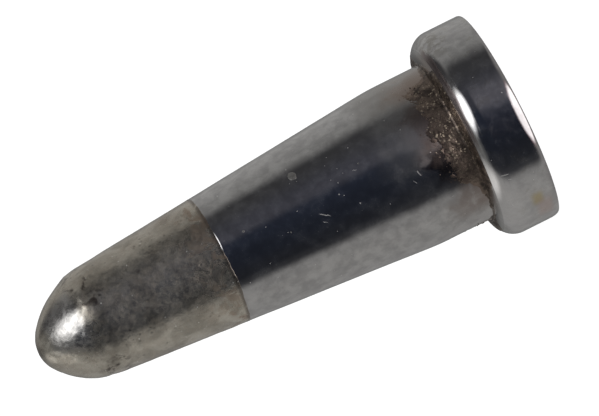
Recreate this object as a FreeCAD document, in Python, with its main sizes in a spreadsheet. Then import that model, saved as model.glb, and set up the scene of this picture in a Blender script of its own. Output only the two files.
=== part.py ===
"""A used push-on soldering iron tip: a turned copper blank with a rear flange and a blind heater bore, and
the layers that are plated, tinned and burnt onto it. Millimetres. The origin is the middle of the flange's
rear face, and +Z runs along the axis to the nose."""

import FreeCAD, Part
import math
import os

import Sketcher

SIZES = {
    # outside of the finished tip
    "flange_radius": 4.80,
    "flange_front": 2.64,
    "shoulder_radius": 0.96,
    "rear_edge_radius": 0.15,
    "least_edge_radius": 0.03,
    "shank_radius": 3.67,
    "cone_start": 5.10,
    "cone_half_angle": 4.72,
    "cone_blend_radius": 12.0,
    "dome_start": 19.71,
    "flank_radius": 3.97,
    "nose_radius": 1.52,
    # how far the underside of each layer lies below the finished surface
    "chrome_depth": 0.04,
    "nickel_depth": 0.09,
    "iron_depth": 0.34,
    # where the chrome ends and the tinning starts
    "tin_line": 14.10,
    # heater bore, as drilled in the copper
    "bore_radius": 2.35,
    "bore_depth": 12.50,
    "bore_mouth_chamfer": 0.20,
    "drill_point_slope": 31.0,
    "lining_thickness": 0.05,
    # burnt flux in the corner of shank and flange
    "residue_height": 1.15,
    "residue_thickness": 0.04,
    "residue_corner": 0.20,
    "residue_reach": 4.47,
    # frozen drops of solder: height and top radius as shares of the radius, and how far the foot is sunk
    "drop_height_share": 0.50,
    "drop_top_share": 0.60,
    "drop_sunk": 0.03,
}

# drops of solder stuck to the shank: height, angle from the front towards +X, radius
DROPS = [
    (9.64, 33.7, 0.21),
    (12.90, 12.0, 0.07),
    (11.10, -6.0, 0.06),
    (7.20, 17.0, 0.06),
    (12.60, 160.0, 0.08),
    (7.40, 200.0, 0.11),
    (10.20, -110.0, 0.07),
]
FRONT = -90.0

ORIGIN = -1
AXIS = -2
START = 1
END = 2
CENTRE = 3

doc = FreeCAD.newDocument("soldering_tip")
sheet = doc.addObject("Spreadsheet::Sheet", "Sizes")
for row, (alias, value) in enumerate(SIZES.items(), start=1):
    sheet.set(f"A{row}", alias)
    sheet.set(f"B{row}", str(value))
    sheet.setAlias(f"B{row}", alias)
doc.recompute()


class Profile:
    """A closed sketch on the XZ plane of a body of its own, drawn anticlockwise and turned about the axis."""

    def __init__(self, name):
        self.name = name
        self.body = doc.addObject("PartDesign::Body", name)
        self.sketch = self.body.newObject("Sketcher::SketchObject", name + "_profile")
        plane = next(f for f in self.body.Origin.OriginFeatures if f.Role == "XZ_Plane")
        self.sketch.AttachmentSupport = (plane, "")
        self.sketch.MapMode = "FlatFace"

    def line(self, start, end):
        edge = Part.LineSegment(FreeCAD.Vector(*start, 0), FreeCAD.Vector(*end, 0))
        return self.sketch.addGeometry(edge, False)

    def arc(self, centre, radius, start_angle, end_angle):
        circle = Part.Circle(FreeCAD.Vector(*centre, 0), FreeCAD.Vector(0, 0, 1), radius)
        edge = Part.ArcOfCircle(circle, start_angle, end_angle)
        return self.sketch.addGeometry(edge, False)

    def point(self, place):
        return self.sketch.addGeometry(Part.Point(FreeCAD.Vector(*place, 0)), True)

    def constrain(self, *words):
        return self.sketch.addConstraint(Sketcher.Constraint(*words))

    def close(self, edges, smooth):
        """Joins each edge to the next, in line with it where both are named in a smooth pair."""
        for first, second in zip(edges, edges[1:] + edges[:1]):
            kind = "Tangent" if (first, second) in smooth else "Coincident"
            self.constrain(kind, first, END, second, START)

    def place(self, edge, which, across=None, up=None):
        """Binds a point's distance from the axis, and its height, to expressions."""
        drawn = self.sketch.getPoint(edge, which)
        if across:
            index = self.constrain("DistanceX", ORIGIN, START, edge, which, drawn.x)
            self.sketch.setExpression(f"Constraints[{index}]", across)
        if up:
            index = self.constrain("DistanceY", ORIGIN, START, edge, which, drawn.y)
            self.sketch.setExpression(f"Constraints[{index}]", up)

    def radius(self, edge, expression):
        index = self.constrain("Radius", edge, self.sketch.Geometry[edge].Radius)
        self.sketch.setExpression(f"Constraints[{index}]", expression)

    def turned(self):
        doc.recompute()
        if self.sketch.solve() != 0 or not self.sketch.FullyConstrained:
            raise RuntimeError(f"{self.name}: the sketch is not fully constrained")
        solid = self.body.newObject("PartDesign::Revolution", self.name + "_turned")
        solid.Profile = self.sketch
        solid.ReferenceAxis = (self.sketch, ["V_Axis"])
        solid.Angle = 360.0
        self.body.Tip = solid
        return self.body


def nose_layout(below):
    """Where the two arcs of the nose sit under the surface: centres, radii and the angle where they meet."""
    slope = math.radians(SIZES["cone_half_angle"])
    run = SIZES["dome_start"] - SIZES["cone_start"]
    cone_end = (
        SIZES["shank_radius"] - run * math.tan(slope) - below * math.cos(slope),
        SIZES["dome_start"] - below * math.sin(slope),
    )
    flank = SIZES["flank_radius"] - below
    nose = SIZES["nose_radius"] - below
    flank_centre = (
        cone_end[0] - flank * math.cos(slope),
        cone_end[1] - flank * math.sin(slope),
    )
    rise = math.sqrt((flank - nose) ** 2 - flank_centre[0] ** 2)
    nose_centre = (0.0, flank_centre[1] + rise)
    meet = math.atan2(rise, -flank_centre[0])
    return slope, cone_end, flank_centre, flank, nose_centre, nose, meet


def turned_blank(name, depth_cell=None):
    """The whole tip's outline without its bore, at a cell's depth below the finished surface."""
    below = SIZES[depth_cell] if depth_cell else 0.0
    depth = f"Sizes.{depth_cell}" if depth_cell else "0"
    slope, cone_end, flank_centre, flank, nose_centre, nose, meet = nose_layout(below)
    rim = SIZES["flange_radius"] - below
    edge = max(SIZES["rear_edge_radius"] - below, SIZES["least_edge_radius"])
    front = SIZES["flange_front"] - below
    shoulder = SIZES["shoulder_radius"] - below
    shank = SIZES["shank_radius"] - below
    blend = SIZES["cone_blend_radius"] - below
    knee = (
        SIZES["shank_radius"] - below * math.cos(slope),
        SIZES["cone_start"] - below * math.sin(slope),
    )
    blend_low = knee[1] - blend * math.tan(slope / 2)
    blend_high = (shank - blend + blend * math.cos(slope), blend_low + blend * math.sin(slope))
    shoulder_low = front - shoulder
    apex = nose_centre[1] + nose

    draw = Profile(name)
    rear = draw.line((0, below), (rim - edge, below))
    rear_edge = draw.arc((rim - edge, below + edge), edge, -math.pi / 2, 0)
    side = draw.line((rim, below + edge), (rim, shoulder_low))
    shoulder_arc = draw.arc((rim - shoulder, shoulder_low), shoulder, 0, math.pi / 2)
    face = draw.line((rim - shoulder, front), (shank, front))
    barrel = draw.line((shank, front), (shank, blend_low))
    blend_arc = draw.arc((shank - blend, blend_low), blend, 0, slope)
    cone = draw.line(blend_high, cone_end)
    flank_arc = draw.arc(flank_centre, flank, slope, meet)
    nose_arc = draw.arc(nose_centre, nose, meet, math.pi / 2)
    middle = draw.line((0, apex), (0, below))
    knee_point = draw.point(knee)

    edges = [rear, rear_edge, side, shoulder_arc, face, barrel, blend_arc, cone, flank_arc, nose_arc, middle]
    sharp = [(face, barrel), (nose_arc, middle), (middle, rear)]
    pairs = set(zip(edges, edges[1:] + edges[:1]))
    draw.close(edges, pairs - set(sharp))
    draw.constrain("Horizontal", rear)
    draw.constrain("Vertical", side)
    draw.constrain("Horizontal", face)
    draw.constrain("Vertical", barrel)
    draw.constrain("PointOnObject", nose_arc, END, AXIS)
    draw.constrain("PointOnObject", nose_arc, CENTRE, AXIS)
    draw.constrain("PointOnObject", knee_point, START, cone)
    if depth_cell:
        draw.constrain("PointOnObject", rear, START, AXIS)
        draw.place(rear, START, up=depth)
    else:
        draw.constrain("Coincident", rear, START, ORIGIN, START)
    draw.place(side, START, across=f"Sizes.flange_radius - {depth}")
    draw.place(face, START, up=f"Sizes.flange_front - {depth}")
    draw.place(barrel, START, across=f"Sizes.shank_radius - {depth}")
    lean = f"{depth} * cos(Sizes.cone_half_angle)"
    dip = f"{depth} * sin(Sizes.cone_half_angle)"
    fall = "(Sizes.dome_start - Sizes.cone_start) * tan(Sizes.cone_half_angle)"
    draw.place(knee_point, START, f"Sizes.shank_radius - {lean}", f"Sizes.cone_start - {dip}")
    draw.place(cone, END, f"Sizes.shank_radius - {fall} - {lean}", f"Sizes.dome_start - {dip}")
    draw.radius(rear_edge, f"max(Sizes.rear_edge_radius - {depth}; Sizes.least_edge_radius)")
    draw.radius(shoulder_arc, f"Sizes.shoulder_radius - {depth}")
    draw.radius(blend_arc, f"Sizes.cone_blend_radius - {depth}")
    draw.radius(flank_arc, f"Sizes.flank_radius - {depth}")
    draw.radius(nose_arc, f"Sizes.nose_radius - {depth}")
    return draw.turned()


def bore_blank(name, skin_cell=None):
    """The drilled space with its mouth chamfer and drill point, less a lining of a cell's thickness."""
    skin_size = SIZES[skin_cell] if skin_cell else 0.0
    skin = f"Sizes.{skin_cell}" if skin_cell else "0"
    wall = SIZES["bore_radius"] - skin_size
    mouth = wall + SIZES["bore_mouth_chamfer"]
    deep = SIZES["bore_depth"] - skin_size
    slope = math.tan(math.radians(SIZES["drill_point_slope"]))

    draw = Profile(name)
    opening = draw.line((0, 0), (mouth, 0))
    chamfer = draw.line((mouth, 0), (wall, SIZES["bore_mouth_chamfer"]))
    side = draw.line((wall, SIZES["bore_mouth_chamfer"]), (wall, deep))
    point = draw.line((wall, deep), (0, deep + wall * slope))
    middle = draw.line((0, deep + wall * slope), (0, 0))
    draw.close([opening, chamfer, side, point, middle], set())
    draw.constrain("Coincident", opening, START, ORIGIN, START)
    draw.constrain("Horizontal", opening)
    draw.constrain("Vertical", side)
    draw.constrain("PointOnObject", point, END, AXIS)
    draw.place(opening, END, across=f"Sizes.bore_radius + Sizes.bore_mouth_chamfer - {skin}")
    draw.place(side, START, f"Sizes.bore_radius - {skin}", "Sizes.bore_mouth_chamfer")
    draw.place(side, END, up=f"Sizes.bore_depth - {skin}")
    rise = f"(Sizes.bore_radius - {skin}) * tan(Sizes.drill_point_slope)"
    draw.place(point, END, up=f"Sizes.bore_depth - {skin} + {rise}")
    return draw.turned()


def residue_blank():
    """The burnt flux as a ring that runs through the corner of shank and flange into the metal: a sleeve up
    the shank, a small fillet, and a skin over the flange's shoulder that ends at its reach."""
    shank = SIZES["shank_radius"]
    front = SIZES["flange_front"]
    skin = SIZES["residue_thickness"]
    low = front - SIZES["shoulder_radius"]
    top = front + SIZES["residue_height"]
    inner = shank - SIZES["nickel_depth"]
    reach = SIZES["residue_reach"]
    centre = (SIZES["flange_radius"] - SIZES["shoulder_radius"], low)
    round_over = SIZES["shoulder_radius"] + skin
    turn = math.acos((reach - centre[0]) / round_over)
    skin_end = (reach, low + round_over * math.sin(turn))
    skin_top = (centre[0], front + skin)
    sleeve_foot = (shank + skin, front + SIZES["residue_corner"])
    sleeve_top = (shank + skin, top)

    draw = Profile("residue_blank")
    base = draw.line((inner, low), (reach, low))
    outside = draw.line((reach, low), skin_end)
    over_shoulder = draw.arc(centre, round_over, turn, math.pi / 2)
    fillet = draw.line(skin_top, sleeve_foot)
    sleeve = draw.line(sleeve_foot, sleeve_top)
    lip = draw.line(sleeve_top, (inner, top))
    back = draw.line((inner, top), (inner, low))
    draw.close([base, outside, over_shoulder, fillet, sleeve, lip, back], set())
    draw.constrain("Horizontal", base)
    draw.constrain("Horizontal", lip)
    draw.constrain("Vertical", outside)
    draw.constrain("Vertical", sleeve)
    draw.constrain("Vertical", back)
    low_words = "Sizes.flange_front - Sizes.shoulder_radius"
    centre_words = "Sizes.flange_radius - Sizes.shoulder_radius"
    skin_words = "Sizes.shank_radius + Sizes.residue_thickness"
    draw.place(base, START, "Sizes.shank_radius - Sizes.nickel_depth", low_words)
    draw.place(outside, START, across="Sizes.residue_reach")
    draw.place(over_shoulder, CENTRE, centre_words, low_words)
    draw.place(over_shoulder, END, across=centre_words)
    draw.radius(over_shoulder, "Sizes.shoulder_radius + Sizes.residue_thickness")
    draw.place(sleeve, START, skin_words, "Sizes.flange_front + Sizes.residue_corner")
    draw.place(lip, START, up="Sizes.flange_front + Sizes.residue_height")
    return draw.turned()


def boolean(kind, name, base, tool):
    result = doc.addObject("Part::" + kind, name)
    result.Base = base
    result.Tool = tool
    return result


def surface_radius(height):
    """The finished shank's radius on its straight barrel and cone."""
    slope = math.radians(SIZES["cone_half_angle"])
    return SIZES["shank_radius"] - max(height - SIZES["cone_start"], 0) * math.tan(slope)


def solder_drops(finished):
    """Low flat-topped drops that stand on the shank, with the tip's own volume cut away from their feet."""
    drops = []
    for number, (height, turn, size) in enumerate(DROPS, start=1):
        drop = doc.addObject("Part::Cone", f"drop_{number}")
        drop.Radius1 = size
        drop.setExpression("Radius2", f"{size} * Sizes.drop_top_share")
        drop.setExpression("Height", f"{size} * Sizes.drop_height_share + Sizes.drop_sunk")
        angle = math.radians(FRONT + turn)
        outward = FreeCAD.Vector(math.cos(angle), math.sin(angle), 0)
        place = outward * (surface_radius(height) - SIZES["drop_sunk"])
        place.z = height
        facing = FreeCAD.Rotation(FreeCAD.Vector(0, 0, 1), outward)
        drop.Placement = FreeCAD.Placement(place, facing)
        drops.append(drop)
    group = doc.addObject("Part::Compound", "drops")
    group.Links = drops
    return boolean("Cut", "solder_spatter", group, finished)


finished_blank = turned_blank("finished_blank")
under_chrome = turned_blank("under_chrome", "chrome_depth")
under_nickel = turned_blank("under_nickel", "nickel_depth")
copper_blank = turned_blank("copper_blank", "iron_depth")
drilled = bore_blank("drilled")
heater_space = bore_blank("heater_space", "lining_thickness")

shank_zone = doc.addObject("Part::Cylinder", "shank_zone")
shank_zone.setExpression("Radius", "2 * Sizes.flange_radius")
shank_zone.setExpression("Height", "Sizes.tin_line")

chrome_shell = boolean("Cut", "chrome_shell", finished_blank, under_chrome)
chrome_drilled = boolean("Cut", "chrome_drilled", chrome_shell, drilled)
nickel_shell = boolean("Cut", "nickel_shell", under_chrome, under_nickel)
nickel_drilled = boolean("Cut", "nickel_drilled", nickel_shell, drilled)
iron_shell = boolean("Cut", "iron_shell", under_nickel, copper_blank)
coat_shell = boolean("Cut", "coat_shell", finished_blank, under_nickel)

NODES = {
    "copper_core": boolean("Cut", "copper_core", copper_blank, drilled),
    "iron_plating": boolean("Cut", "iron_plating", iron_shell, drilled),
    "nickel_plating": boolean("Common", "nickel_plating", nickel_drilled, shank_zone),
    "chrome_plating": boolean("Common", "chrome_plating", chrome_drilled, shank_zone),
    "tin_coat": boolean("Cut", "tin_coat", coat_shell, shank_zone),
    "bore_lining": boolean("Cut", "bore_lining", drilled, heater_space),
    "flux_residue": boolean("Cut", "flux_residue", residue_blank(), finished_blank),
    "solder_spatter": solder_drops(finished_blank),
}
doc.recompute()

for item in doc.Objects:
    if "Invalid" in item.State or "Error" in item.State:
        raise RuntimeError(f"{item.Name}: {item.State}")
for name, item in NODES.items():
    item.Label = name
    item.Placement = FreeCAD.Placement()
    if item.Shape.isNull() or not item.Shape.isValid() or not item.Shape.Solids:
        raise RuntimeError(f"{name}: no sound solid")

os.makedirs("parts", exist_ok=True)
for name, item in NODES.items():
    item.Shape.exportStep(f"parts/{name}.step")
    box = item.Shape.BoundBox
    volume = sum(s.Volume for s in item.Shape.Solids)
    solids = len(item.Shape.Solids)
    print(f"{name:15s} solids {solids} volume {volume:8.3f} z {box.ZMin:6.3f} to {box.ZMax:6.3f}")
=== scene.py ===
"""Looks of a used push-on soldering iron tip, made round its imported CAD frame. Everything is in metres.

The tip stands on its flange with its nose up. Azimuths are degrees about +Z, counted from the front (-Y)
towards +X, and heights are measured from the flange's rear face."""

import math
import random

import bmesh
import bpy
from mathutils import Matrix, Vector, noise


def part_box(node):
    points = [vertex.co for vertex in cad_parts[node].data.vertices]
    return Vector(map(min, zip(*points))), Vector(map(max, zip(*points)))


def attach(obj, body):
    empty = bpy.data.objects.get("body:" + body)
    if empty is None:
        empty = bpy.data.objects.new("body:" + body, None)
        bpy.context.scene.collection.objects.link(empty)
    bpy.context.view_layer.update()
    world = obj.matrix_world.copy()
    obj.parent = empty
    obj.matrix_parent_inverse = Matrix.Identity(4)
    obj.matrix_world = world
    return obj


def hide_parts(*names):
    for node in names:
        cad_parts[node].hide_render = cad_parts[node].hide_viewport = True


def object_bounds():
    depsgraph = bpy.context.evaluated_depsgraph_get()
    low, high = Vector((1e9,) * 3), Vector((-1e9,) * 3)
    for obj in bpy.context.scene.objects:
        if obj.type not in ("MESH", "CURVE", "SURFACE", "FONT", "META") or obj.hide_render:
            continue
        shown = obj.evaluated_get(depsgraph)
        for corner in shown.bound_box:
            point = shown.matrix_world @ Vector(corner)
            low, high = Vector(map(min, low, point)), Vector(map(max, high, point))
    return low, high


MM = 0.001
BODY = "root"

# Every random draw and every bend of the noise comes from this seed.
SEED = 7
noise.seed_set(SEED)

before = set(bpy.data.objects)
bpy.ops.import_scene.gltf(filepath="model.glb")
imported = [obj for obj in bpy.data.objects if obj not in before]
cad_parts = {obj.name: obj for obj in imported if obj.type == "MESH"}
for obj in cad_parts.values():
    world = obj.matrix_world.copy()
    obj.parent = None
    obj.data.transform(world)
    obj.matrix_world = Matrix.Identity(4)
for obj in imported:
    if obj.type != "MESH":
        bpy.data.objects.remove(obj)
cad_low, cad_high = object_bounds()

# The outline of the finished tip, as the CAD model has it. Heights and radii of whole nodes come from the
# frame.
flange_radius = cad_high.x
tip_height = cad_high.z
tin_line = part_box("chrome_plating")[1].z
flange_front = 2.64 * MM
shoulder_radius = 0.96 * MM
# The rear edge is worn soft: it turns in over this length of rim, to this depth. Around one azimuth, on the
# +X side, it is crisper by this share: fully within so many degrees, and not at all beyond so many.
rear_edge_softness = 0.40 * MM
rear_edge_depth = 0.10 * MM
crisp_azimuth = 115
crisp_share = 0.65
crisp_full, crisp_none = 70, 95
shank_radius = 3.67 * MM
cone_start = 5.10 * MM
cone_slope = math.radians(4.72)
cone_blend_radius = 12.0 * MM
dome_start = 19.71 * MM
flank_radius = 3.97 * MM
nose_radius = 1.52 * MM
chrome_depth = 0.04 * MM
coat_depth = 0.09 * MM
bore_radius = 2.35 * MM
bore_depth = 12.50 * MM
bore_mouth_chamfer = 0.20 * MM
drill_point_slope = math.radians(31)
lining_thickness = 0.05 * MM
residue_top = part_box("flux_residue")[1].z

# A fine ridge on the flange's shoulder, polished by the retaining barrel, frames the burnt flux.
ridge_turn = math.radians(57.0)
ridge_width = math.radians(1.8)
ridge_height = 0.007 * MM

# The frozen drops of solder: height, azimuth, radius.
DROPS = [
    (9.92 * MM, 33.6, 0.21 * MM),
    (12.90 * MM, 12.0, 0.07 * MM),
    (11.10 * MM, -6.0, 0.06 * MM),
    (7.20 * MM, 17.0, 0.06 * MM),
    (12.60 * MM, 160.0, 0.08 * MM),
    (7.40 * MM, 200.0, 0.11 * MM),
    (10.20 * MM, -110.0, 0.07 * MM),
]


def smooth_step(low, high, value):
    """0 below low, 1 above high, smooth between."""
    share = min(max((value - low) / (high - low), 0.0), 1.0)
    return share * share * (3 - 2 * share)


def outward(azimuth):
    """The level unit vector that points out of the tip at an azimuth."""
    turn = math.radians(azimuth)
    return Vector((math.sin(turn), -math.cos(turn), 0))


def away(azimuth, middle):
    """How many degrees an azimuth is from another, the shorter way round."""
    return abs((azimuth - middle + 180) % 360 - 180)


# ---------------------------------------------------------------- outlines


def straight(start, end, step):
    """Points from start up to, but without, end."""
    length = math.dist(start, end)
    count = max(1, round(length / step))
    return [
        (start[0] + (end[0] - start[0]) * i / count, start[1] + (end[1] - start[1]) * i / count)
        for i in range(count)
    ]


def arc(centre, radius, start, end, count):
    """Points on an arc from one angle up to, but without, another, in radians from the outward direction."""
    points = []
    for i in range(count):
        angle = start + (end - start) * i / count
        points.append((centre[0] + radius * math.cos(angle), centre[1] + radius * math.sin(angle)))
    return points


def cone_radius(height):
    return shank_radius - (height - cone_start) * math.tan(cone_slope)


def surface_radius(height):
    """The finished surface's radius on the shank, from the flange's face to the dome."""
    reach = cone_blend_radius * math.tan(cone_slope / 2)
    if height <= cone_start - reach:
        return shank_radius
    if height >= cone_start + reach * math.cos(cone_slope):
        return cone_radius(height)
    rise = height - (cone_start - reach)
    return shank_radius - cone_blend_radius + math.sqrt(cone_blend_radius**2 - rise**2)


def shank_outline(low, high, below, step):
    """The shank's surface between two heights, lowered by a depth."""
    count = max(2, round((high - low) / step))
    heights = [low + (high - low) * i / count for i in range(count + 1)]
    return [(surface_radius(height) - below, height) for height in heights]


# The dome is two arcs, the flank's and the nose's. They have these centres and meet at this angle.
flank_centre = (
    cone_radius(dome_start) - flank_radius * math.cos(cone_slope),
    dome_start - flank_radius * math.sin(cone_slope),
)
nose_rise = math.sqrt((flank_radius - nose_radius) ** 2 - flank_centre[0] ** 2)
nose_centre = (0.0, flank_centre[1] + nose_rise)
arcs_meet = math.atan2(nose_rise, -flank_centre[0])


def dome_outline(below, step):
    """The dome from where it leaves the cone to its apex, lowered by a depth."""
    flank = flank_radius - below
    nose = nose_radius - below
    flank_count = round(flank * (arcs_meet - cone_slope) / step)
    nose_count = round(nose * (math.pi / 2 - arcs_meet) / step)
    points = arc(flank_centre, flank, cone_slope, arcs_meet, flank_count)
    points += arc(nose_centre, nose, arcs_meet, math.pi / 2, nose_count)
    return points + [(0.0, nose_centre[1] + nose)]


def keep_iron_covered(place):
    """Lifts a place on the dome that lies too deep in the coat of solder. The iron under it stays hidden."""
    thinnest = 0.014 * MM
    blend = 0.030 * MM
    lowest = thinnest - coat_depth
    out = Vector((place.x, place.y, 0))
    on_flank = math.atan2(place.z - flank_centre[1], out.length - flank_centre[0]) < arcs_meet
    centre, size = (flank_centre, flank_radius) if on_flank else (nose_centre, nose_radius)
    turn = math.atan2(place.z - centre[1], out.length - centre[0])
    above = math.dist((out.length, place.z), centre) - size
    near = max(blend - abs(above - lowest), 0.0) / blend
    settled = max(above, lowest) + near * near * blend / 4
    normal = out.normalized() * math.cos(turn)
    normal.z = math.sin(turn)
    return place + normal * (settled - above)


def flange_outline(below, step):
    """From the bore's mouth over the rear face, rim and shoulder to the foot of the shank."""
    on_surface = below == 0
    mouth = bore_radius + bore_mouth_chamfer
    rim = flange_radius - below
    edge = rear_edge_depth - below
    soft = rear_edge_softness - below
    shoulder = shoulder_radius - below
    front = flange_front - below
    shank = shank_radius - below
    edge_count, shoulder_count = (18, 90) if on_surface else (6, 20)
    points = straight((mouth, below), (rim - edge, below), 6 * step)
    for i in range(edge_count):
        turn = math.pi / 2 * i / edge_count
        points.append((rim - edge + edge * math.sin(turn), below + soft - soft * math.cos(turn)))
    points += straight((rim, below + soft), (rim, front - shoulder), step)
    for i in range(shoulder_count):
        turn = math.pi / 2 * i / shoulder_count
        ridge = ridge_height * math.exp(-(((turn - ridge_turn) / ridge_width) ** 2)) if on_surface else 0
        points.append((
            rim - shoulder + (shoulder + ridge) * math.cos(turn),
            front - shoulder + (shoulder + ridge) * math.sin(turn),
        ))
    points += straight((rim - shoulder, front), (shank, front), step)
    return points


# ---------------------------------------------------------------- meshes


def new_piece(name, build, like, material):
    """A mesh object from a filled bmesh, that stands for CAD nodes and rides on the tip."""
    bmesh.ops.recalc_face_normals(build, faces=build.faces)
    mesh = bpy.data.meshes.new(name)
    build.to_mesh(mesh)
    build.free()
    for face in mesh.polygons:
        face.use_smooth = True
    piece = bpy.data.objects.new(name, mesh)
    bpy.context.scene.collection.objects.link(piece)
    mesh.materials.append(material)
    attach(piece, BODY)
    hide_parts(*like)
    return piece


def lathe(build, outline, segments, closed, shape=None):
    """Turns an outline about +Z. shape moves each point: it gets azimuth, radius, height and the point's
    number along the outline, and gives back x, y and z. A point on the axis becomes one vertex."""
    rings = []
    for number, (radius, height) in enumerate(outline):
        count = segments if radius > 1e-7 else 1
        ring = []
        for i in range(count):
            azimuth = 360 * i / segments - 180
            place = outward(azimuth) * radius
            place.z = height
            if shape:
                place = Vector(shape(azimuth, radius, height, number))
            ring.append(build.verts.new(place))
        rings.append(ring)
    pairs = list(zip(rings, rings[1:]))
    if closed:
        pairs.append((rings[-1], rings[0]))
    for first, second in pairs:
        for i in range(segments):
            j = (i + 1) % segments
            corners = [
                first[i % len(first)],
                first[j % len(first)],
                second[j % len(second)],
                second[i % len(second)],
            ]
            build.faces.new(list(dict.fromkeys(corners)))
    return rings


ASKEW = Matrix.Rotation(math.radians(37), 3, Vector((1.0, 0.6, 0.3)))


def ripple(place, size, height):
    """Smooth unevenness: a height times noise whose lumps are about size across. The noise is turned and
    bent, so its square grid doesn't show."""
    turned = ASKEW @ (place / size)
    bend = 0.8 * noise.noise_vector(turned * 0.7)
    return height * noise.noise(turned + bend)


# ---------------------------------------------------------------- materials


class Graph:
    """Short calls for building a node tree."""

    def __init__(self, tree):
        self.tree = tree

    def add(self, kind, **settings):
        node = self.tree.nodes.new(kind)
        for key, value in settings.items():
            setattr(node, key, value)
        return node

    def feed(self, socket, value):
        """Links a socket's output, or sets a plain number, vector or colour."""
        if isinstance(value, bpy.types.NodeSocket):
            self.tree.links.new(value, socket)
        elif isinstance(value, tuple) and len(value) == 3 and socket.type == "RGBA":
            socket.default_value = (*value, 1.0)
        else:
            socket.default_value = value

    def math(self, operation, first, second=0.0, clamp=False):
        node = self.add("ShaderNodeMath", operation=operation, use_clamp=clamp)
        self.feed(node.inputs[0], first)
        self.feed(node.inputs[1], second)
        return node.outputs[0]

    def times(self, first, second):
        return self.math("MULTIPLY", first, second)

    def plus(self, first, second):
        return self.math("ADD", first, second)

    def less(self, first, second):
        return self.math("SUBTRACT", first, second)

    def greater_of(self, first, second):
        return self.math("MAXIMUM", first, second)

    def fade(self, value, low, high, start=0.0, end=1.0):
        """start where value is below low, end where it is above high, smooth between."""
        node = self.add("ShaderNodeMapRange", interpolation_type="SMOOTHSTEP")
        self.feed(node.inputs["Value"], value)
        node.inputs["From Min"].default_value = low
        node.inputs["From Max"].default_value = high
        node.inputs["To Min"].default_value = start
        node.inputs["To Max"].default_value = end
        return node.outputs["Result"]

    def fall(self, value, low, high):
        """1 where value is below low, 0 where it is above high, smooth between."""
        return self.fade(value, low, high, 1.0, 0.0)

    def summed(self, value, parts):
        """A value plus parts, each times its share."""
        for part, share in parts:
            value = self.plus(value, self.times(part, share))
        return value

    def dot(self, first, second):
        node = self.add("ShaderNodeVectorMath", operation="DOT_PRODUCT")
        self.feed(node.inputs[0], first)
        self.feed(node.inputs[1], second)
        return node.outputs["Value"]

    def split(self, vector):
        node = self.add("ShaderNodeSeparateXYZ")
        self.feed(node.inputs[0], vector)
        return node.outputs

    def channel(self, colour, number):
        node = self.add("ShaderNodeSeparateColor")
        self.feed(node.inputs[0], colour)
        return node.outputs[number]

    def azimuth(self, vector):
        """Degrees from the front towards +X."""
        parts = self.split(vector)
        turn = self.math("ARCTAN2", parts["X"], self.times(parts["Y"], -1.0))
        return self.math("DEGREES", turn)

    def mix(self, share, first, second, how="MIX"):
        node = self.add("ShaderNodeMix", data_type="RGBA", blend_type=how)
        self.feed(node.inputs["Factor"], share)
        self.feed(node.inputs["A"], first)
        self.feed(node.inputs["B"], second)
        return node.outputs["Result"]

    def painted(self, colour, layers):
        """A colour with others laid over it in turn: where, how strongly at most, and which."""
        for where, share, paint in layers:
            colour = self.mix(self.times(where, share), colour, paint)
        return colour


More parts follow.
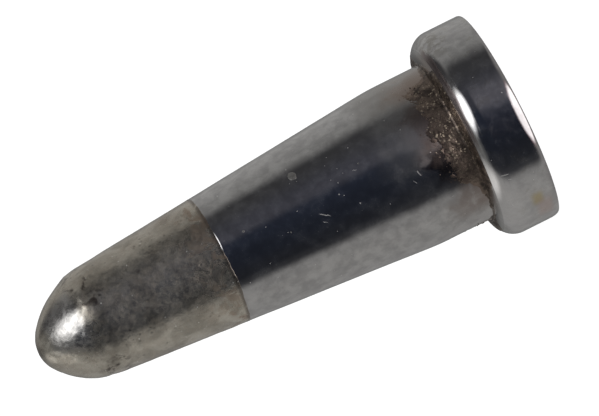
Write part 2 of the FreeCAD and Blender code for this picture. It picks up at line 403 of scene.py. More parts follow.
class Shade(Graph):
    """A material whose patterns are laid out in the tip's own coordinates."""

    def __init__(self, name):
        self.material = bpy.data.materials.new(name)
        self.material.use_nodes = True
        super().__init__(self.material.node_tree)
        self.surface = self.tree.nodes["Principled BSDF"]
        self.place = self.add("ShaderNodeTexCoord").outputs["Object"]
        self.height = self.split(self.place)["Z"]
        self.turn = self.azimuth(self.place)

    def stretched(self, across, up):
        """Object coordinates scaled by different amounts across and along the axis."""
        node = self.add("ShaderNodeMapping")
        self.feed(node.inputs["Vector"], self.place)
        node.inputs["Scale"].default_value = (across, across, up)
        return node.outputs[0]

    def noise(self, size, detail=4.0, rough=0.55, twist=0.0, place=None):
        """Cloudy noise, about 0.3 to 0.7, whose lumps are about size across."""
        node = self.add("ShaderNodeTexNoise")
        self.feed(node.inputs["Vector"], place or self.place)
        node.inputs["Scale"].default_value = 1 / size
        node.inputs["Detail"].default_value = detail
        node.inputs["Roughness"].default_value = rough
        node.inputs["Distortion"].default_value = twist
        return node.outputs["Fac"]

    def patches(self, size, share, twist=0.6):
        """1 in soft blotches of about that size, which cover roughly a share of the surface."""
        edge = 0.5 + 0.36 * (0.5 - share)
        return self.fade(self.noise(size, detail=5.0, rough=0.6, twist=twist), edge - 0.05, edge + 0.08)

    def cells(self, size):
        """The colour of each cell of about that size, and the distance from its middle."""
        node = self.add("ShaderNodeTexVoronoi", feature="F1")
        self.feed(node.inputs["Vector"], self.place)
        node.inputs["Scale"].default_value = 1 / size
        return node.outputs["Color"], node.outputs["Distance"]

    def specks(self, size, radius, share):
        """1 in round dots of a radius, in about that share of cells of a size."""
        colour, distance = self.cells(size)
        chosen = self.math("LESS_THAN", self.channel(colour, 0), share)
        dot = self.fall(distance, radius / size * 0.6, radius / size)
        return self.times(chosen, dot)

    def between(self, low, full, last, high):
        """1 where the height is from full to last, fading to 0 at low and high."""
        rise = self.fade(self.height, low, full)
        return self.times(rise, self.fall(self.height, last, high))

    def aside(self, middle):
        """Degrees from an azimuth, -180 to 180."""
        turned = self.plus(self.turn, 180.0 - middle)
        return self.less(self.math("FLOORED_MODULO", turned, 360.0), 180.0)

    def beside(self, middle, full, none):
        """1 within full degrees of an azimuth, fading to 0 at none."""
        return self.fall(self.math("ABSOLUTE", self.aside(middle)), full, none)

    def area(self, heights, azimuths):
        """1 where both the height and the azimuth allow: four heights in millimetres as in between, and
        three angles as in beside."""
        return self.times(self.between(*(height * MM for height in heights)), self.beside(*azimuths))

    def stroke(self, azimuth, height, slope, half_length, half_width):
        """1 along a short, slightly bent mark on the skin, at a slope in degrees from level."""
        radius = surface_radius(height) if height > flange_front else flange_radius
        across = self.times(self.aside(azimuth), math.radians(1) * radius)
        above = self.plus(self.height, -height)
        lean, climb = math.cos(math.radians(slope)), math.sin(math.radians(slope))
        along = self.plus(self.times(across, lean), self.times(above, climb))
        off = self.less(self.times(above, lean), self.times(across, climb))
        bend = self.times(self.plus(self.noise(0.25 * MM, detail=2.0), -0.5), 3.5 * half_width)
        off = self.math("ABSOLUTE", self.plus(off, bend))
        thin = self.fall(off, half_width * 0.3, half_width)
        short = self.fall(self.math("ABSOLUTE", along), half_length * 0.5, half_length)
        return self.times(thin, short)

    def bump(self, height, depth):
        """A normal raised by a height of 0 to 1 times a depth in metres."""
        node = self.add("ShaderNodeBump")
        node.inputs["Strength"].default_value = 1.0
        node.inputs["Distance"].default_value = depth
        self.feed(node.inputs["Height"], height)
        return node.outputs["Normal"]

    def finish(self, colour, metallic, roughness, normal=None, specular=0.5):
        self.feed(self.surface.inputs["Base Color"], colour)
        self.feed(self.surface.inputs["Metallic"], metallic)
        self.feed(self.surface.inputs["Roughness"], roughness)
        self.surface.inputs["Specular IOR Level"].default_value = specular
        if normal is not None:
            self.feed(self.surface.inputs["Normal"], normal)
        return self.material


def hair_scratches(shade, across, up, width, share):
    """Thin broken lines: narrow contours of a stretched noise, kept where a second noise allows."""
    lines = shade.noise(1.0, detail=1.0, place=shade.stretched(across, up))
    off = shade.math("ABSOLUTE", shade.plus(lines, -0.5))
    thin = shade.fall(off, 0.0, width)
    return shade.times(thin, shade.patches(0.6 * MM, share))


# Short scratches in the chrome: azimuth, height, slope in degrees from level, half length, half width.
SCRATCHES = [
    (-5.5, 9.50 * MM, 53, 0.30 * MM, 0.034 * MM),
    (-10.5, 9.62 * MM, 60, 0.12 * MM, 0.024 * MM),
    (-8.3, 5.09 * MM, 18, 0.17 * MM, 0.030 * MM),
    (-12.5, 5.40 * MM, 33, 0.13 * MM, 0.020 * MM),
    (-28.0, 1.90 * MM, 83, 0.22 * MM, 0.028 * MM),
    (-31.5, 1.75 * MM, 68, 0.11 * MM, 0.022 * MM),
    (14.0, 7.50 * MM, 65, 0.12 * MM, 0.018 * MM),
    (131.0, 8.80 * MM, 35, 0.34 * MM, 0.030 * MM),
    (-118.0, 6.40 * MM, 70, 0.28 * MM, 0.026 * MM),
]


def chrome_material():
    """Dark bright chrome: mirror-like ahead, hazed and then browned by heat towards the flange, most on the
    front right, with scratches, specks and a faint grey film in clouds."""
    shade = Shade("dark_chrome")
    cloud = shade.noise(0.62 * MM, detail=5.0, rough=0.60, twist=0.22)
    fine = shade.noise(0.30 * MM, detail=3.0, rough=0.6)
    wander = shade.times(shade.plus(shade.noise(1.0 * MM, detail=4.0, twist=0.5), -0.5), 3.4 * MM)
    level = shade.plus(shade.height, wander)
    on_shank = shade.fade(shade.height, 2.45 * MM, 2.65 * MM)
    on_flange = shade.less(1.0, on_shank)
    dirty_side = shade.plus(0.15, shade.times(shade.beside(40.0, 39.0, 54.0), 0.85))
    haze = shade.times(shade.fall(level, 4.8 * MM, 7.2 * MM), on_shank)
    brown = shade.times(shade.fall(level, 3.2 * MM, 5.4 * MM), on_shank)
    haze = shade.times(haze, dirty_side)
    brown = shade.times(brown, shade.plus(0.15, shade.times(shade.beside(28.0, 22.0, 62.0), 0.85)))
    # A darker, browner spot ahead, at azimuth -9 and about 2.8 to 4.8 mm up, with less haze on it.
    dark_spot = shade.times(shade.fade(level, 2.8 * MM, 3.3 * MM), shade.fall(level, 4.1 * MM, 4.8 * MM))
    dark_spot = shade.times(dark_spot, shade.beside(-9.0, 5.0, 13.0))
    haze = shade.times(haze, shade.fade(dark_spot, 0.0, 1.0, 1.0, 0.2))
    foot = shade.times(shade.fall(level, 3.1 * MM, 4.5 * MM), on_shank)
    foot = shade.times(foot, shade.beside(-28.0, 20.0, 36.0))
    stain = shade.times(shade.patches(0.6 * MM, 0.30, twist=0.1), on_flange)
    grime = shade.area((1.1, 1.7, 2.4, 2.6), (75.0, 18.0, 34.0))
    grime = shade.times(grime, shade.patches(0.35 * MM, 0.45, twist=0.0))
    film_edge = shade.plus(shade.height, shade.times(shade.plus(fine, -0.5), 0.10 * MM))
    film = shade.fade(film_edge, 2.325 * MM, 2.365 * MM)
    film = shade.times(shade.times(film, on_flange), shade.beside(30.0, 30.0, 44.0))
    film_far = shade.times(shade.fade(film_edge, 2.255 * MM, 2.295 * MM), on_flange)
    film = shade.greater_of(film, shade.times(film_far, shade.beside(36.0, 16.0, 30.0)))
    rust = shade.area((0.50, 0.80, 0.95, 1.30), (-52.0, 1.5, 7.0))
    blush = shade.area((0.15, 0.45, 0.80, 1.15), (-62.0, 3.0, 12.0))
    # Painted shade: the chrome is darkened on the +X side of the shank, 4 to 7 mm up, which dims the pale
    # reflection along that limb.
    limb_shade = shade.area((4.1, 4.8, 5.6, 6.8), (68.0, 14.0, 40.0))
    # Painted reflection: the flange's lower front side, towards -X, is made lighter so that its pale
    # reflection shows brighter, most near the shoulder.
    painted_sheen = shade.times(on_flange, shade.beside(-48.0, 17.0, 34.0))
    painted_sheen = shade.times(painted_sheen, shade.fade(shade.height, 1.0 * MM, 2.2 * MM, 0.30, 1.0))
    rub = shade.fade(shade.noise(1.0, detail=3.0, place=shade.stretched(450.0, 15000.0)), 0.50, 0.62)
    rub = shade.times(rub, shade.between(1.70 * MM, 1.90 * MM, 2.35 * MM, 2.60 * MM))
    specks = shade.greater_of(
        shade.specks(0.30 * MM, 0.022 * MM, 0.30), shade.specks(0.60 * MM, 0.032 * MM, 0.35)
    )
    scratches = shade.times(hair_scratches(shade, 900.0, 2600.0, 0.003, 0.14), 0.5)
    for scratch in SCRATCHES:
        scratches = shade.greater_of(scratches, shade.stroke(*scratch))
    marks = shade.math("ADD", specks, shade.times(scratches, 0.65), clamp=True)

    clean = shade.mix(shade.fade(cloud, 0.34, 0.66), (0.43, 0.425, 0.425), (0.575, 0.57, 0.565))
    colour = shade.painted(clean, [
        (stain, 0.35, (0.33, 0.31, 0.27)),
        (grime, 0.50, (0.22, 0.205, 0.18)),
        (painted_sheen, 0.60, (0.71, 0.70, 0.695)),
        (film, 0.85, (0.225, 0.180, 0.175)),
        (rust, 0.65, (0.52, 0.42, 0.20)),
        (blush, 0.50, (0.56, 0.42, 0.38)),
        (haze, 0.60, (0.33, 0.325, 0.31)),
        (limb_shade, 0.30, (0.25, 0.23, 0.21)),
        (brown, 0.80, (0.310, 0.236, 0.195)),
        (foot, 0.75, (0.250, 0.200, 0.178)),
        (dark_spot, 0.75, (0.105, 0.080, 0.068)),
        (marks, 1.0, (0.55, 0.54, 0.52)),
    ])
    dull = shade.summed(0.0, [
        (haze, 0.085),
        (marks, 0.50),
        (brown, -0.078),
        (film, 0.05),
        (shade.fade(cloud, 0.50, 0.70), 0.012),
    ])
    metallic = shade.math("SUBTRACT", 1.0, dull, clamp=True)
    rough = shade.summed(0.075, [
        (shade.fade(cloud, 0.45, 0.70), 0.07),
        (haze, 0.09),
        (brown, 0.06),
        (foot, 0.10),
        (film, 0.16),
        (marks, 0.35),
        (rub, 0.11),
    ])
    height = shade.summed(fine, [(marks, 0.8)])
    return shade.finish(colour, metallic, rough, shade.bump(height, 1.3e-6))


def tin_material():
    """Dull oxidised solder: warm grey, clouded and pitted, browner near its edge, darker where the dome
    begins and rubbed brighter on the dome, with a painted neutral grey where the dome's highlight falls."""
    shade = Shade("tinning")
    cloud = shade.noise(1.1 * MM, detail=7.0, rough=0.60, twist=0.35)
    fine = shade.noise(0.15 * MM, detail=5.0, rough=0.65, twist=0.4)
    pits = shade.fall(shade.cells(0.24 * MM)[1], 0.08, 0.36)
    pits = shade.times(pits, shade.patches(0.9 * MM, 0.42))
    pits = shade.times(pits, shade.fade(shade.height, 20.4 * MM, 21.2 * MM, 1.0, 0.10))
    edge = shade.fall(shade.height, tin_line + 0.1 * MM, tin_line + 2.4 * MM)
    brown = shade.times(edge, shade.patches(0.75 * MM, 0.46))
    line = shade.fall(shade.height, tin_line + 0.03 * MM, tin_line + 0.18 * MM)
    line = shade.times(line, shade.patches(0.9 * MM, 0.85))
    ring = shade.between(19.3 * MM, 20.0 * MM, 20.6 * MM, 21.2 * MM)
    ring = shade.times(ring, shade.patches(0.5 * MM, 0.48))
    ring = shade.times(ring, shade.plus(0.25, shade.patches(1.7 * MM, 0.50)))
    oxide = shade.patches(0.34 * MM, 0.50, twist=0.9)
    rubbed = shade.fade(shade.height, 20.1 * MM, 20.8 * MM)
    glints = shade.specks(0.30 * MM, 0.026 * MM, 0.36)
    milky = shade.fade(shade.noise(0.40 * MM, detail=5.0, rough=0.65, twist=0.8), 0.42, 0.64)
    veins = shade.fade(fine, 0.50, 0.64)
    buffed = shade.fade(shade.noise(0.26 * MM, detail=4.0, rough=0.6, twist=0.5), 0.38, 0.62, -0.07, 0.09)
    # Painted highlight colour: the solder is tinted neutral grey where the dome's highlight falls, on its +X
    # front, so that the highlight reads white rather than warm.
    highlight_grey = shade.area((20.5, 21.0, 22.1, 22.5), (16.0, 26.0, 50.0))

    colour = shade.mix(shade.fade(cloud, 0.34, 0.66), (0.365, 0.340, 0.29), (0.61, 0.575, 0.50))
    colour = shade.painted(colour, [
        (shade.fade(fine, 0.54, 0.72), 0.25, (0.62, 0.60, 0.55)),
        (oxide, 0.30, (0.40, 0.345, 0.28)),
        (shade.beside(64.0, 16.0, 44.0), 0.22, (0.27, 0.23, 0.19)),
        (pits, 0.62, (0.13, 0.12, 0.105)),
        (brown, 0.58, (0.30, 0.215, 0.155)),
        (ring, 0.80, (0.095, 0.080, 0.068)),
        (line, 0.72, (0.12, 0.10, 0.085)),
        (highlight_grey, 0.75, (0.405, 0.402, 0.398)),
        (glints, 1.0, (0.74, 0.73, 0.70)),
    ])
    rough = shade.summed(shade.fade(cloud, 0.34, 0.66, 0.27, 0.20), [(brown, 0.10), (rubbed, buffed)])
    metallic = shade.summed(0.950, [(glints, -0.4), (oxide, -0.070), (veins, -0.060), (milky, -0.040)])
    height = shade.summed(fine, [(pits, -0.8)])
    return shade.finish(colour, metallic, rough, shade.bump(height, 5e-6))


def flux_material():
    """Burnt flux: near-black brown crust over the chrome, glassy in places, with a few amber grains that are
    painted pale as glints, mostly on the lit front.
    """
    shade = Shade("burnt_flux")
    lumps = shade.noise(0.45 * MM, detail=7.0, rough=0.62, twist=0.4)
    grains = shade.cells(0.065 * MM)[0]
    # Painted glints: some amber grains are made pale, mostly on the lit front, to stand for the light caught
    # on them.
    lit_side = shade.plus(0.15, shade.times(shade.beside(15.0, 18.0, 40.0), 0.85))
    bright = shade.times(shade.fade(shade.channel(grains, 1), 0.87, 0.95), lit_side)
    bright = shade.times(bright, shade.patches(0.6 * MM, 0.62))
    colour = shade.mix(shade.fade(lumps, 0.36, 0.64), (0.046, 0.035, 0.029), (0.178, 0.138, 0.110))
    across = shade.split(shade.place)
    square = shade.plus(shade.times(across["X"], across["X"]), shade.times(across["Y"], across["Y"]))
    thick = shade.plus(shade.math("SQRT", square), -shank_radius)
    varnish = shade.fall(thick, 0.001 * MM, 0.014 * MM)
    varnish = shade.times(varnish, shade.fade(shade.height, 2.70 * MM, 2.90 * MM))
    colour = shade.painted(colour, [
        (varnish, 0.75, (0.250, 0.193, 0.160)),
        (bright, 0.75, (0.66, 0.56, 0.42)),
    ])
    rough = shade.fade(lumps, 0.4, 0.6, 0.45, 0.26)
    rough = shade.less(rough, shade.times(varnish, 0.10))
    metallic = shade.plus(0.68, shade.times(varnish, 0.26))
    return shade.finish(colour, metallic, rough, shade.bump(lumps, 1.0e-5))


def solder_material():
    """Dull frozen solder."""
    shade = Shade("solder")
    cloud = shade.noise(0.08 * MM, detail=3.0)
    colour = shade.mix(shade.fade(cloud, 0.35, 0.65), (0.25, 0.245, 0.23), (0.33, 0.325, 0.31))
    rough = shade.fade(cloud, 0.35, 0.65, 0.50, 0.40)
    return shade.finish(colour, 0.90, rough, shade.bump(cloud, 2e-6))


def lining_material():
    """Nickel in the bore, blued and browned by the heater, with rings from drilling."""
    shade = Shade("bore_nickel")
    rings = shade.noise(1.0, detail=2.0, place=shade.stretched(300.0, 9000.0))
    cloud = shade.noise(1.2 * MM, detail=5.0)
    colour = shade.mix(shade.fade(cloud, 0.35, 0.65), (0.30, 0.24, 0.20), (0.42, 0.40, 0.40))
    rough = shade.fade(rings, 0.35, 0.65, 0.30, 0.45)
    return shade.finish(colour, 0.9, rough, shade.bump(rings, 4e-6))


def turned_material(name, dark, light, rough):
    """A sealed-in metal with the fine rings that turning leaves."""
    shade = Shade(name)
    rings = shade.noise(1.0, detail=2.0, place=shade.stretched(200.0, 12000.0))
    colour = shade.mix(shade.fade(rings, 0.35, 0.65), dark, light)
    uneven = shade.fade(rings, 0.35, 0.65, rough, rough + 0.1)
    return shade.finish(colour, 1.0, uneven, shade.bump(rings, 3e-6))


# ---------------------------------------------------------------- pieces


def make_chrome(material):
    """The chrome skin over flange and shank, a shell with a rounded edge at the tinned line. Its surface has
    the slight waves of plated metal, which make reflections in it wander."""
    segments = 320
    lip = 0.012 * MM
    step = 0.12 * MM
    outside = flange_outline(0.0, step)
    outside += shank_outline(flange_front, tin_line - lip, 0.0, step)
    top = cone_radius(tin_line)
    edge = arc((top - lip, tin_line - lip), lip, math.radians(15), math.radians(90), 5)
    inside = flange_outline(chrome_depth, 3 * step)
    inside += shank_outline(flange_front - chrome_depth, tin_line, chrome_depth, 3 * step)
    outline = outside + edge + inside[::-1]
    skin = len(outside)

    def shape(azimuth, radius, height, number):
        place = outward(azimuth) * radius
        place.z = height
        if number < skin and height < rear_edge_softness:
            crisp = smooth_step(crisp_none, crisp_full, away(azimuth, crisp_azimuth))
            place.z *= 1 - crisp_share * crisp
        if number < skin and radius > shank_radius * 0.6 and height > 0:
            wave = ripple(place, 2.3 * MM, 0.0075 * MM) + ripple(place, 0.8 * MM, 0.0016 * MM)
            place += outward(azimuth) * wave
        return place

    build = bmesh.new()
    lathe(build, outline, segments, closed=True, shape=shape)
    return new_piece("chrome_skin", build, ["chrome_plating"], material)


def make_tin(material):
    """The solder coat on the nose. The dome leans to -X, so its +X side is flatter and keeps a corner where
    it leaves the cone, and a little to the back. The surface is lumpy, with shallow craters."""
    segments = 384
    step = 0.055 * MM
    lap = tin_line - 0.05 * MM
    outside = [(surface_radius(lap), lap), (surface_radius(lap), lap + 0.018 * MM)]
    outside += shank_outline(lap + 0.04 * MM, dome_start, 0.0, step)[:-1]
    outside += dome_outline(0.0, step)
    inside = dome_outline(coat_depth, 6 * step)[::-1]
    inside += [(cone_radius(lap) - coat_depth, lap)]
    outline = outside + inside[1:]
    skin = len(outside)
    lean_start = 20.42 * MM
    lean = 0.13 * MM
    lean_back_start = 19.9 * MM
    lean_back = 0.12 * MM
    rim_height = 0.006 * MM
    rim_reach = 0.22 * MM
    edge_depth = 0.017 * MM
    edge_reach = 0.016 * MM

    def shape(azimuth, radius, height, number):
        out = outward(azimuth)
        if number >= skin:
            place = out * radius
            place.z = height
            return place
        from_lap = height - lap
        rim = rim_height * (1 + 1.2 * noise.noise(out * 5 + Vector((3, 0, 0))))
        bead = rim * math.exp(-from_lap / rim_reach)
        bead -= (rim + edge_depth) * math.exp(-from_lap / edge_reach)
        wander = 0.060 * MM * noise.noise(out * 4) + 0.040 * MM * noise.noise(out * 13)
        place = out * (radius + bead)
        place.z = height + wander * math.exp(-from_lap / (0.5 * MM))
        lump = ripple(place, 1.3 * MM, 0.014 * MM)
        on_dome = smooth_step(dome_start, dome_start + 1.0 * MM, height)
        lump += ripple(place, 0.42 * MM, 0.009 * MM) * (1 + 0.4 * on_dome)
        lump += ripple(place, 0.17 * MM, 0.0032 * MM) * (1 - 0.3 * on_dome)
        steady = smooth_step(tin_line, tin_line + 0.3 * MM, height)
        normal = out.copy()
        if height > dome_start:
            normal.z = math.tan(math.asin(min((height - dome_start) / (tip_height - dome_start), 0.97)))
            normal.normalize()
        place += normal * (lump * steady)
        if height > lean_start:
            place.x -= lean * (1 - math.exp(-(height - lean_start) / (0.50 * MM)))
        if height > lean_back_start:
            place.y += lean_back * (1 - math.exp(-(height - lean_back_start) / (1.6 * MM)))
            place = keep_iron_covered(place)
        return place

    build = bmesh.new()
    lathe(build, outline, segments, closed=False, shape=shape)
    rims = [edge for edge in build.edges if edge.is_boundary]
    bmesh.ops.bridge_loops(build, edges=rims)
    return new_piece("tinned_nose", build, ["tin_coat"], material)


# Where the crust of flux is thick, on the shank and on the flange: azimuth, degrees from there with full
# cover, and degrees from there with none.
SHANK_CRUST = [(12, 32, 54), (128, 18, 46), (205, 26, 60), (-100, 8, 32)]
FLANGE_CRUST = [(6, 38, 52), (128, 18, 46), (205, 26, 60), (-100, 8, 32)]


def crust_cover(azimuth, patches):
    """1 where the crust is thick, 0 where there is none."""
    return max(smooth_step(none, full, away(azimuth, middle)) for middle, full, none in patches)


def make_flux(material):
    """The burnt flux: a thin uneven skin up the shank, through the corner and over the flange's shoulder to
    the ridge, with grains fused to it. Where the skin is thin it dips under the chrome and out of sight."""
    segments = 512
    grain_count = 760
    step = 0.045 * MM
    skin = 0.026 * MM
    buried = 0.020 * MM
    centre = (flange_radius - shoulder_radius, flange_front - shoulder_radius)
    high = residue_top + 0.95 * MM
    outline = arc(centre, shoulder_radius, ridge_turn, math.pi / 2, 22)
    outline += straight((centre[0], flange_front), (shank_radius, flange_front), step)
    outline += shank_outline(flange_front, high, 0.0, step)
    count = len(outline)
    back = [(radius - 2 * buried, height - 2 * buried) for radius, height in outline[::-1]]
    corner = (shank_radius, flange_front)

    def thickness(azimuth, radius, height):
        place = outward(azimuth) * radius
        place.z = height
        cover = crust_cover(azimuth, SHANK_CRUST if height > flange_front else FLANGE_CRUST)
        coarse = noise.noise(place / (0.8 * MM))
        grain = noise.noise(place / (0.20 * MM))
        dust = noise.noise(place / (0.085 * MM))
        if height > flange_front:
            top = residue_top + (0.55 * coarse - 0.05 - 1.2 * (1 - cover)) * MM
            solid = smooth_step(top + 0.75 * MM, top - 0.60 * MM, height)
        else:
            reach = shank_radius + (0.16 + 0.56 * cover + 0.10 * coarse) * MM
            solid = smooth_step(reach + 0.05 * MM, reach - 0.06 * MM, radius)
        lumps = 0.62 + 0.45 * grain + 0.35 * dust
        near_corner = math.dist((radius, height), corner)
        fillet = 0.09 * MM * math.exp(-((near_corner / (0.12 * MM)) ** 2)) * (0.4 + 0.6 * cover)
        raised = solid * (skin * lumps + fillet)
        loose = 1.6 * max(grain, dust) * smooth_step(0.35, 0.9, cover)
        return raised - buried * (1 - solid) * (1.2 - loose)

    def shape(azimuth, radius, height, number):
        out = outward(azimuth)
        place = out * radius
        place.z = height
        if number >= count:
            return place
        if number == 0:
            return place - out * buried
        if radius > centre[0]:
            turn = math.atan2(height - centre[1], radius - centre[0])
            normal = out * math.cos(turn)
            normal.z = math.sin(turn)
        elif height > flange_front + 0.01 * MM:
            normal = out
        else:
            normal = (out + Vector((0, 0, 1))).normalized()
        return place + normal * thickness(azimuth, radius, height)

    build = bmesh.new()
    lathe(build, outline + back, segments, closed=True, shape=shape)
    draw = random.Random(SEED)
    for _ in range(grain_count):
        azimuth = draw.gauss(12, 34) if draw.random() < 0.7 else draw.uniform(60, 300)
        if crust_cover(azimuth, SHANK_CRUST) < 0.4 + 0.6 * draw.random():
            continue
        height = flange_front + abs(draw.gauss(0.0, 0.50)) * MM
        size = draw.uniform(0.010, 0.032) * MM
        place = outward(azimuth) * (surface_radius(height) + skin * 0.5)
        place.z = height
        turn = Matrix.Rotation(draw.uniform(0, math.tau), 4, Vector((draw.random(), draw.random(), 1)))
        stretch = Matrix.Diagonal((size, size * draw.uniform(0.6, 1.3), size * draw.uniform(0.6, 1.6), 1))
        place_and_turn = Matrix.Translation(place) @ turn @ stretch
        bmesh.ops.create_icosphere(build, subdivisions=1, radius=1, matrix=place_and_turn)
    return new_piece("burnt_flux_crust", build, ["flux_residue"], material)


def make_drops(material):
    """Frozen drops: flattened beads with a wetted foot and an uneven outline, half sunk in the chrome."""
    crown_height = 0.17
    root_depth = 0.10
    sunk = 0.01 * MM
    build = bmesh.new()
    for number, (height, azimuth, size) in enumerate(DROPS):
        out = outward(azimuth)
        foot = out * (surface_radius(height) - sunk)
        foot.z = height
        turn = Vector((0, 0, 1)).rotation_difference(out).to_matrix().to_4x4()
        made = bmesh.ops.create_icosphere(build, subdivisions=4, radius=1)
        for vertex in made["verts"]:
            spread = 1 + 0.10 * noise.noise(vertex.co * 1.3 + Vector((number, 0, 0)))
            flat = crown_height if vertex.co.z > 0 else root_depth
            local = Vector((vertex.co.x * spread, vertex.co.y * spread, vertex.co.z * flat)) * size
            vertex.co = foot + turn @ local
    return new_piece("solder_drops", build, ["solder_spatter"], material)


def make_lining(material):
    """The heater bore's lining, a cup with a chamfered mouth and a drill point."""
    segments = 160
    wall = bore_radius - lining_thickness
    deep = bore_depth - lining_thickness
    tip = deep + wall * math.tan(drill_point_slope)
    outer_tip = bore_depth + bore_radius * math.tan(drill_point_slope)
    step = 0.4 * MM
    inside = [(0.0, tip)]
    inside += straight((1e-4 * MM, tip), (wall, deep), step)[1:]
    inside += straight((wall, deep), (wall, bore_mouth_chamfer), step)
    inside += [(wall, bore_mouth_chamfer), (wall + bore_mouth_chamfer, 0.0)]
    outside = [(bore_radius + bore_mouth_chamfer, 0.0), (bore_radius, bore_mouth_chamfer)]
    outside += [(bore_radius, bore_depth), (0.0, outer_tip)]
    build = bmesh.new()
    lathe(build, inside + outside, segments, closed=False)
    piece = new_piece("heater_bore_lining", build, ["bore_lining"], material)
    piece.data.set_sharp_from_angle(angle=math.radians(25))
    return piece


# ---------------------------------------------------------------- stage, light and camera


def make_floor():
    """A plain pale floor, bright enough to read as white paper."""
    half = 4.0
    build = bmesh.new()
    bmesh.ops.create_grid(build, x_segments=1, y_segments=1, size=half)
    mesh = bpy.data.meshes.new("floor")
    build.to_mesh(mesh)
    build.free()
    floor = bpy.data.objects.new("floor", mesh)
    bpy.context.scene.collection.objects.link(floor)
    material = bpy.data.materials.new("white_paper")
    material.use_nodes = True
    surface = material.node_tree.nodes["Principled BSDF"]
    surface.inputs["Base Color"].default_value = (0.35, 0.35, 0.35, 1)
    surface.inputs["Roughness"].default_value = 0.9
    surface.inputs["Emission Color"].default_value = (1, 1, 1, 1)
    surface.inputs["Emission Strength"].default_value = 0.93
    mesh.materials.append(material)
    floor.visible_glossy = False
    return floor


# What stands round the tip at the height of the horizon: azimuth and colour of its light.
SURROUND = [
    (-180, (0.11, 0.11, 0.11)),
    (-166, (0.24, 0.24, 0.235)),
    (-150, (0.345, 0.34, 0.335)),
    (-118, (0.365, 0.36, 0.352)),
    (-90, (0.385, 0.378, 0.368)),
    (-70, (0.335, 0.33, 0.325)),
    (-54, (0.048, 0.049, 0.055)),
    (-44, (0.026, 0.028, 0.035)),
    (-15, (0.022, 0.026, 0.038)),
    (13, (0.029, 0.035, 0.054)),
    (28, (0.073, 0.075, 0.094)),
    (71, (0.066, 0.066, 0.070)),
    (95, (0.33, 0.327, 0.32)),
    (120, (0.405, 0.40, 0.392)),
    (145, (0.44, 0.435, 0.425)),
    (166, (0.27, 0.27, 0.265)),
    (180, (0.11, 0.11, 0.11)),
]

# Dark cloths over the tent and bright openings in it: azimuth, elevation, half width, half height, how much
# of each is edge, colour. A cloth hides what is behind it, an opening adds its light.
CLOTHS = [
    (112, 46, 38, 24, 0.60, (0.070, 0.068, 0.070)),
]
WINDOWS = [
    (34, 53, 24, 30, 0.80, (3.6, 3.6, 3.65)),
    (-120, 61, 34, 18, 0.80, (0.52, 0.51, 0.50)),
    (-4, -35, 34, 26, 0.35, (1.85, 1.82, 1.82)),
    (-4, -36, 36, 26.5, 0.10, (0.085, 0.015, 0.028)),
    (26, -16, 27, 22, 1.0, (0.118, 0.112, 0.120)),
]


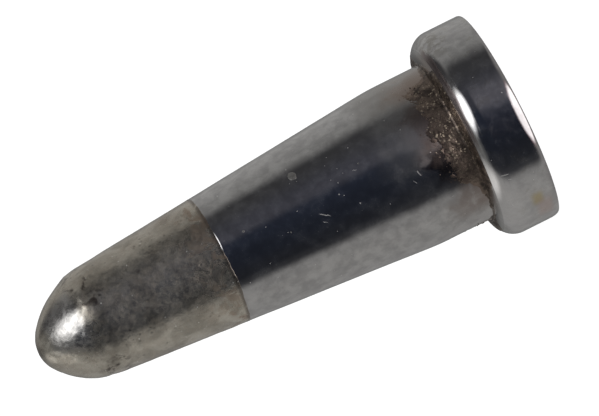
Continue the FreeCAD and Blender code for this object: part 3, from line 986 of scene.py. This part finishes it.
def make_world():
    """A light tent open at the front: pale sheets at the sides and behind, a dark room before it, grey cloth
    overhead, grey paper below, and bright openings. Looked at directly, it is a plain white backdrop."""
    world = bpy.data.worlds.new("light_tent")
    bpy.context.scene.world = world
    world.use_nodes = True
    world.node_tree.nodes.clear()
    tent = Graph(world.node_tree)
    ray = tent.add("ShaderNodeTexCoord").outputs["Generated"]
    rise = tent.split(ray)["Z"]

    ramp = tent.add("ShaderNodeValToRGB")
    ramp.color_ramp.interpolation = "EASE"
    stops = ramp.color_ramp.elements
    while len(stops) < len(SURROUND):
        stops.new(0.5)
    for stop, (azimuth, colour) in zip(stops, SURROUND):
        stop.position = (azimuth + 180) / 360
        stop.color = (*colour, 1)
    tent.feed(ramp.inputs["Fac"], tent.plus(tent.times(tent.azimuth(ray), 1 / 360), 0.5))
    light = tent.mix(tent.fade(rise, 0.80, 0.97), ramp.outputs["Color"], (0.17, 0.17, 0.168))
    light = tent.mix(tent.fall(rise, -0.60, -0.30), light, (0.30, 0.29, 0.29))

    def opening(azimuth, elevation, half_width, half_height, soft):
        """1 inside an oval part of the tent, fading to 0 at its edge."""
        tilt = math.radians(elevation)
        side = outward(azimuth + 90)
        middle = outward(azimuth) * math.cos(tilt) + Vector((0, 0, math.sin(tilt)))
        up = middle.cross(side) * -1
        ahead = tent.math("MAXIMUM", tent.dot(ray, tuple(middle)), 0.001)
        across = tent.math("DIVIDE", tent.dot(ray, tuple(side)), ahead)
        along = tent.math("DIVIDE", tent.dot(ray, tuple(up)), ahead)
        across = tent.times(across, 1 / math.tan(math.radians(half_width)))
        along = tent.times(along, 1 / math.tan(math.radians(half_height)))
        far = tent.math("SQRT", tent.plus(tent.times(across, across), tent.times(along, along)))
        return tent.fall(far, 1 - soft, 1.0)

    for *oval, colour in CLOTHS:
        light = tent.mix(opening(*oval), light, colour)
    for *oval, colour in WINDOWS:
        light = tent.mix(opening(*oval), light, colour, how="ADD")

    seen = tent.add("ShaderNodeLightPath").outputs["Is Camera Ray"]
    background = tent.add("ShaderNodeBackground")
    tent.feed(background.inputs["Color"], tent.mix(seen, light, (1.05, 1.05, 1.05)))
    output = tent.add("ShaderNodeOutputWorld")
    tent.feed(output.inputs["Surface"], background.outputs[0])


def make_camera():
    """A long lens in front of the tip and a little above its flange, rolled so that the nose points down to
    the left."""
    distance = 0.80
    rise = math.radians(7.15)
    roll = math.radians(26.65)
    image_width = 599
    pixel_size = 0.04307
    picture_width = image_width * pixel_size * MM
    aim = Vector((0.442 * MM, 0, 9.934 * MM))
    back = Vector((0, -math.cos(rise), math.sin(rise)))
    up = Vector((0, math.sin(rise), math.cos(rise)))
    side = Vector((1, 0, 0))
    right = -math.cos(roll) * up - math.sin(roll) * side
    top = -math.sin(roll) * up + math.cos(roll) * side
    lens = bpy.data.cameras.new("camera")
    lens.sensor_width = 36
    lens.lens = lens.sensor_width * distance / picture_width
    lens.clip_start = 0.01
    lens.clip_end = 20
    camera = bpy.data.objects.new("camera", lens)
    bpy.context.scene.collection.objects.link(camera)
    turn = Matrix((right, top, back)).transposed().to_4x4()
    camera.matrix_world = Matrix.Translation(aim + back * distance) @ turn
    bpy.context.scene.camera = camera


# ---------------------------------------------------------------- the scene

make_camera()
make_world()
make_floor()

make_chrome(chrome_material())
make_tin(tin_material())
make_flux(flux_material())
make_drops(solder_material())
make_lining(lining_material())

SEALED = {
    "copper_core": turned_material("copper", (0.62, 0.33, 0.21), (0.80, 0.48, 0.33), 0.25),
    "iron_plating": turned_material("iron", (0.30, 0.29, 0.28), (0.42, 0.41, 0.40), 0.45),
    "nickel_plating": turned_material("nickel", (0.58, 0.55, 0.49), (0.70, 0.67, 0.61), 0.25),
}
for node_name, sealed_material in SEALED.items():
    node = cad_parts[node_name]
    node.data.materials.clear()
    node.data.materials.append(sealed_material)

bpy.context.scene.view_settings.view_transform = "Standard"
